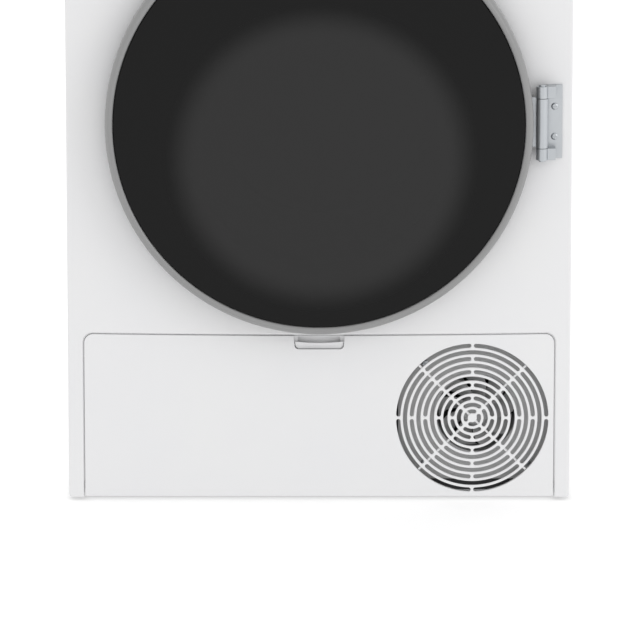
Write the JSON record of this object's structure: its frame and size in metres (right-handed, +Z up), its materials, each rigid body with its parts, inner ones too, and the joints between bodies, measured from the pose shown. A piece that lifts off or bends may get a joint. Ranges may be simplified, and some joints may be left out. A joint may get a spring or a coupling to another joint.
{
  "type": "clothes dryer",
  "caption": "Free-standing front-loading heat-pump clothes dryer with a round smoked door, control fascia, condensate drawer and a drop-down kick flap with a round ventilation grille.",
  "frame": {"origin": "middle of the footprint, on the floor under the levelling feet", "axes": "front faces -Y, +X to the right of a person facing the dryer, +Z up"},
  "size_m": [0.596, 0.656, 0.849],
  "materials": {
    "white_enamel": "satin powder-coated sheet steel",
    "white_plastic": "fine satin moulded ABS",
    "grey_plastic": "satin grey moulded plastic",
    "dark_plastic": "moulded glass-filled polypropylene",
    "ring_plastic": "satin grey lacquered plastic",
    "smoked_cover": "high-gloss smoked cover",
    "bowl_plastic": "tinted polycarbonate bowl",
    "galvanised": "galvanised sheet",
    "stainless": "brushed stainless drum sheet",
    "zinc": "zinc-plated steel",
    "alu_fins": "plain aluminium fins",
    "copper": "bright copper pipe",
    "black_steel": "black painted steel",
    "motor_steel": "bare lamination steel",
    "rubber": "soft moulded rubber",
    "felt": "pressed wool felt",
    "circuit_board": "solder-masked board",
    "tank_plastic": "translucent polypropylene",
    "orange_plastic": "orange moulded plastic",
    "chrome_plastic": "satin chromed plastic",
    "display": "smoked acrylic",
    "filter_mesh": "plastic filter frame with mesh"
  },
  "bodies": {
    "cabinet": {"front_panel": "white_enamel", "left_side_panel": "white_enamel", "right_side_panel": "white_enamel", "rear_panel": "galvanised", "rear_duct_cover": "galvanised", "worktop": "white_plastic", "base_tray": "dark_plastic", "front_bulkhead": "grey_plastic", "case_screws": "zinc", "fascia": "white_plastic", "display_window": "display", "control_board": "circuit_board", "tank_bay": "grey_plastic", "door_seal": "rubber", "hinge_bracket": "zinc", "hinge_pin": "zinc", "door_catch": "dark_plastic", "exchanger_tunnel": "dark_plastic", "exchanger_cover": "grey_plastic", "evaporator": "alu_fins", "condenser": "alu_fins", "compressor": "black_steel", "compressor_mounts": "rubber", "refrigerant_pipes": "copper", "cooling_fan_frame": "grey_plastic", "condensate_pump": "white_plastic", "drum_felts": "felt", "drum_bearing": "motor_steel", "drum_belt": "rubber", "drive_motor": "motor_steel", "lint_filter": "filter_mesh", "mains_gland": "dark_plastic"},
    "door": {"door_ring": "ring_plastic", "door_glass": "smoked_cover", "door_frame": "grey_plastic", "door_bowl": "bowl_plastic", "hinge_strap": "zinc", "door_hook": "zinc"},
    "flap": {"kick_flap": "white_plastic"},
    "latch": {"flap_latch": "white_plastic"},
    "tank": {"tank_front": "white_plastic", "water_tank": "tank_plastic"},
    "knob": {"program_knob": "chrome_plastic"},
    "power_key": {"power_button": "chrome_plastic"},
    "start_key": {"start_button": "chrome_plastic"},
    "left_option_key": {"option_button_left": "chrome_plastic"},
    "right_option_key": {"option_button_right": "chrome_plastic"},
    "upper_lever": {"upper_cover_lever": "orange_plastic"},
    "lower_lever": {"lower_cover_lever": "orange_plastic"},
    "drum_body": {"drum": "stainless", "drum_lifters": "grey_plastic"},
    "motor_rotor": {"motor_shaft": "zinc", "process_fan_wheel": "dark_plastic"},
    "left_roller": {"left_support_roller": "dark_plastic"},
    "right_roller": {"right_support_roller": "dark_plastic"},
    "fan_rotor": {"cooling_fan_rotor": "grey_plastic"},
    "front_left_leg": {"front_left_foot": "dark_plastic"},
    "front_right_leg": {"front_right_foot": "dark_plastic"},
    "rear_left_leg": {"rear_left_foot": "dark_plastic"},
    "rear_right_leg": {"rear_right_foot": "dark_plastic"}
  },
  "joints": [
    {"name": "door_hinge", "type": "hinge", "parent": "cabinet", "child": "door", "pos_m": [0.262, -0.3, 0.4615], "axis": [0, 0, 1], "range_deg": [0, 115]},
    {"name": "flap_hinge", "type": "hinge", "parent": "cabinet", "child": "flap", "pos_m": [0, -0.277, 0.016], "axis": [1, 0, 0], "range_deg": [0, 88]},
    {"name": "latch_tilt", "type": "hinge", "parent": "flap", "child": "latch", "pos_m": [0, -0.281, 0.188], "axis": [1, 0, 0], "range_deg": [0, 12], "stiffness_Nm_per_rad": 0.12, "springref_deg": -2.86},
    {"name": "tank_slide", "type": "slide", "parent": "cabinet", "child": "tank", "axis": [0, -1, 0], "range_m": [0, 0.36]},
    {"name": "knob_turn", "type": "hinge", "parent": "cabinet", "child": "knob", "pos_m": [0, -0.286, 0.778], "axis": [0, -1, 0], "continuous": true},
    {"name": "power_press", "type": "slide", "parent": "cabinet", "child": "power_key", "axis": [0, 1, 0], "range_m": [0, 0.0015], "stiffness_N_per_m": 900, "springref_m": -0.0004},
    {"name": "start_press", "type": "slide", "parent": "cabinet", "child": "start_key", "axis": [0, 1, 0], "range_m": [0, 0.0015], "stiffness_N_per_m": 900, "springref_m": -0.0004},
    {"name": "left_option_press", "type": "slide", "parent": "cabinet", "child": "left_option_key", "axis": [0, 1, 0], "range_m": [0, 0.0015], "stiffness_N_per_m": 900, "springref_m": -0.0004},
    {"name": "right_option_press", "type": "slide", "parent": "cabinet", "child": "right_option_key", "axis": [0, 1, 0], "range_m": [0, 0.0015], "stiffness_N_per_m": 900, "springref_m": -0.0004},
    {"name": "upper_lever_turn", "type": "hinge", "parent": "cabinet", "child": "upper_lever", "pos_m": [-0.07, -0.267, 0.158], "axis": [0, -1, 0], "range_deg": [0, 90]},
    {"name": "lower_lever_turn", "type": "hinge", "parent": "cabinet", "child": "lower_lever", "pos_m": [-0.07, -0.267, 0.076], "axis": [0, -1, 0], "range_deg": [0, 90]},
    {"name": "drum_spin", "type": "hinge", "parent": "cabinet", "child": "drum_body", "pos_m": [0, 0, 0.5], "axis": [0, 1, 0], "continuous": true},
    {"name": "motor_spin", "type": "hinge", "parent": "cabinet", "child": "motor_rotor", "pos_m": [0.06, 0.2, 0.15], "axis": [0, 1, 0], "continuous": true},
    {"name": "left_roller_spin", "type": "hinge", "parent": "cabinet", "child": "left_roller", "pos_m": [-0.18427, -0.191, 0.26415], "axis": [0, 1, 0], "continuous": true},
    {"name": "right_roller_spin", "type": "hinge", "parent": "cabinet", "child": "right_roller", "pos_m": [0.18427, -0.191, 0.26415], "axis": [0, 1, 0], "continuous": true},
    {"name": "fan_spin", "type": "hinge", "parent": "cabinet", "child": "fan_rotor", "pos_m": [0.187, -0.24, 0.102], "axis": [0, 1, 0], "continuous": true},
    {"name": "front_left_level", "type": "slide", "parent": "cabinet", "child": "front_left_leg", "axis": [0, 0, -1], "range_m": [0, 0.015]},
    {"name": "front_right_level", "type": "slide", "parent": "cabinet", "child": "front_right_leg", "axis": [0, 0, -1], "range_m": [0, 0.015]},
    {"name": "rear_left_level", "type": "slide", "parent": "cabinet", "child": "rear_left_leg", "axis": [0, 0, -1], "range_m": [0, 0.015]},
    {"name": "rear_right_level", "type": "slide", "parent": "cabinet", "child": "rear_right_leg", "axis": [0, 0, -1], "range_m": [0, 0.015]}
  ],
  "couplings": [
    {"joint": "motor_spin", "follows": "drum_spin", "ratio": 30.556},
    {"joint": "left_roller_spin", "follows": "drum_spin", "ratio": -11.458},
    {"joint": "right_roller_spin", "follows": "drum_spin", "ratio": -11.458}
  ]
}
